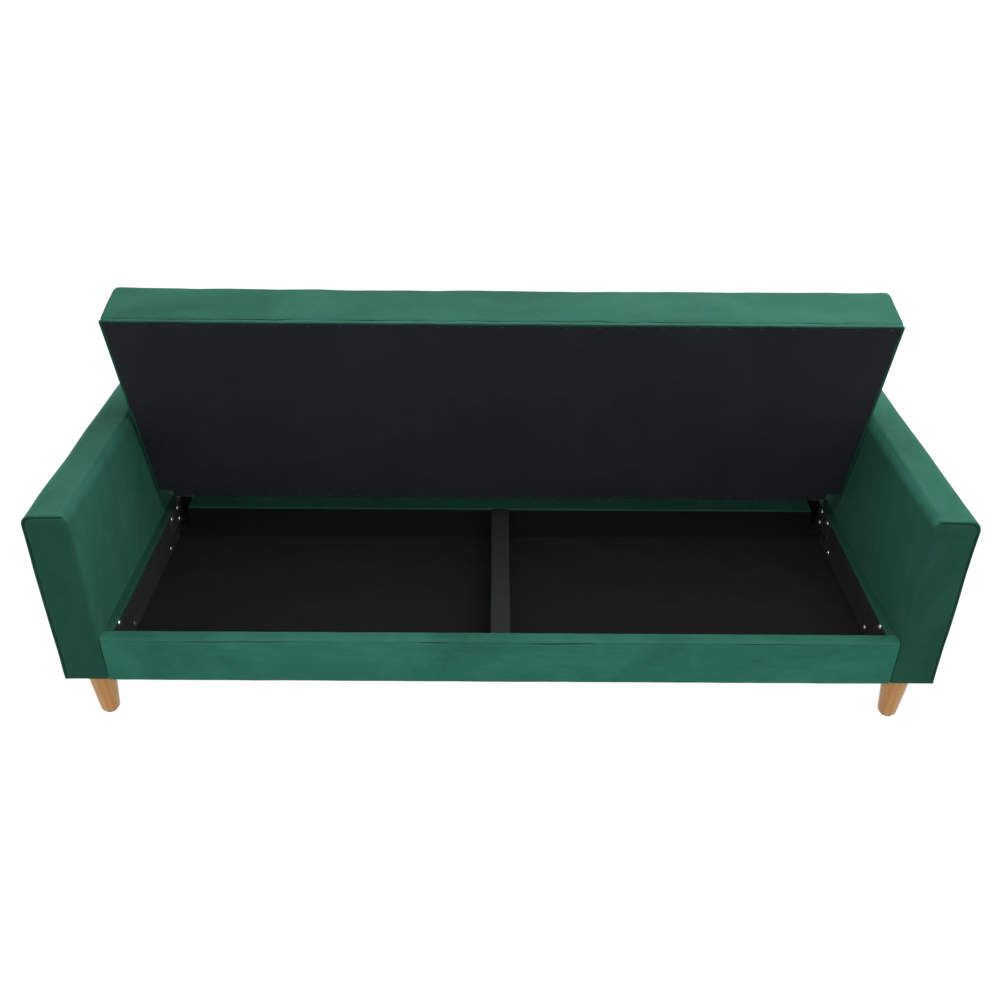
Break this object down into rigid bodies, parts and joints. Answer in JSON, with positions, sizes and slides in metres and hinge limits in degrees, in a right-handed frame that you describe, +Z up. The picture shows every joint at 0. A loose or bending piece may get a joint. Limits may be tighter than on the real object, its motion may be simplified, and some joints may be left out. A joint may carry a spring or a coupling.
{
  "type": "futon sofa bed",
  "caption": "Three-seat sofa bed with padded arms and tapered legs: the seat lifts on rear hinges over a divided storage box, and the back folds flat behind it.",
  "frame": {"origin": "on the floor under the middle of the whole object at rest, with the seat lifted and the back flat", "axes": "+X along the length, from the left arm to the right arm as seen from the front; +Y from the front rail to the back; +Z up"},
  "size_m": [1.9, 1.044, 0.8784],
  "materials": {
    "velvet": "short-pile green velvet",
    "lining": "black non-woven cloth",
    "foam": "cut polyurethane foam",
    "frame_wood": "sawn pine",
    "hardboard": "hardboard",
    "leg_wood": "lacquered beech",
    "black_steel": "black powder coat",
    "zinc_steel": "zinc plated",
    "black_plastic": "moulded nylon"
  },
  "bodies": {
    "base": {"arm_cover_left": "velvet", "arm_cover_right": "velvet", "arm_frame_left": "frame_wood", "arm_frame_right": "frame_wood", "arm_panels_left": "hardboard", "arm_panels_right": "hardboard", "back_pivot_left": "zinc_steel", "back_pivot_right": "zinc_steel", "divider_board": "frame_wood", "divider_cover": "lining", "floor_cleats": "frame_wood", "floor_panel_left": "hardboard", "floor_panel_right": "hardboard", "foot_glides": "black_plastic", "front_rail": "frame_wood", "front_rail_cover": "velvet", "hinge_bolts": "zinc_steel", "hinge_plate_left": "black_steel", "hinge_plate_right": "black_steel", "leg_front_left": "leg_wood", "leg_front_right": "leg_wood", "leg_hanger_bolts": "zinc_steel", "leg_plates": "black_steel", "leg_rear_left": "leg_wood", "leg_rear_right": "leg_wood", "rear_rail": "frame_wood", "rear_rail_cover": "velvet", "seat_pivot_pins": "zinc_steel", "seat_pivot_washers": "black_plastic", "side_bolts": "zinc_steel", "side_rail_cover_left": "velvet", "side_rail_cover_right": "velvet", "side_rail_left": "frame_wood", "side_rail_right": "frame_wood", "storage_lining_left": "lining", "storage_lining_right": "lining"},
    "seat": {"seat_cover": "velvet", "seat_dust_cover": "lining", "seat_end_rail_left": "frame_wood", "seat_end_rail_right": "frame_wood", "seat_foam": "foam", "seat_front_rail": "frame_wood", "seat_hinge_leaf_left": "black_steel", "seat_hinge_leaf_right": "black_steel", "seat_leaf_screws": "zinc_steel", "seat_rear_rail": "frame_wood", "seat_slats": "frame_wood"},
    "back": {"back_cover": "velvet", "back_end_rail_left": "frame_wood", "back_end_rail_right": "frame_wood", "back_foam": "foam", "back_hinge_plate_left": "black_steel", "back_hinge_plate_right": "black_steel", "back_lower_rail": "frame_wood", "back_plate_screws": "zinc_steel", "back_rear_panel": "velvet", "back_slats": "frame_wood", "back_upper_rail": "frame_wood"}
  },
  "joints": [
    {"name": "seat_lift", "type": "hinge", "parent": "base", "child": "seat", "pos_m": [0, 0.0234, 0.3389], "axis": [1, 0, 0], "range_deg": [0, 74.8]},
    {"name": "back_raise", "type": "hinge", "parent": "base", "child": "back", "pos_m": [0, 0.099, 0.376], "axis": [1, 0, 0], "range_deg": [0, 75]}
  ]
}
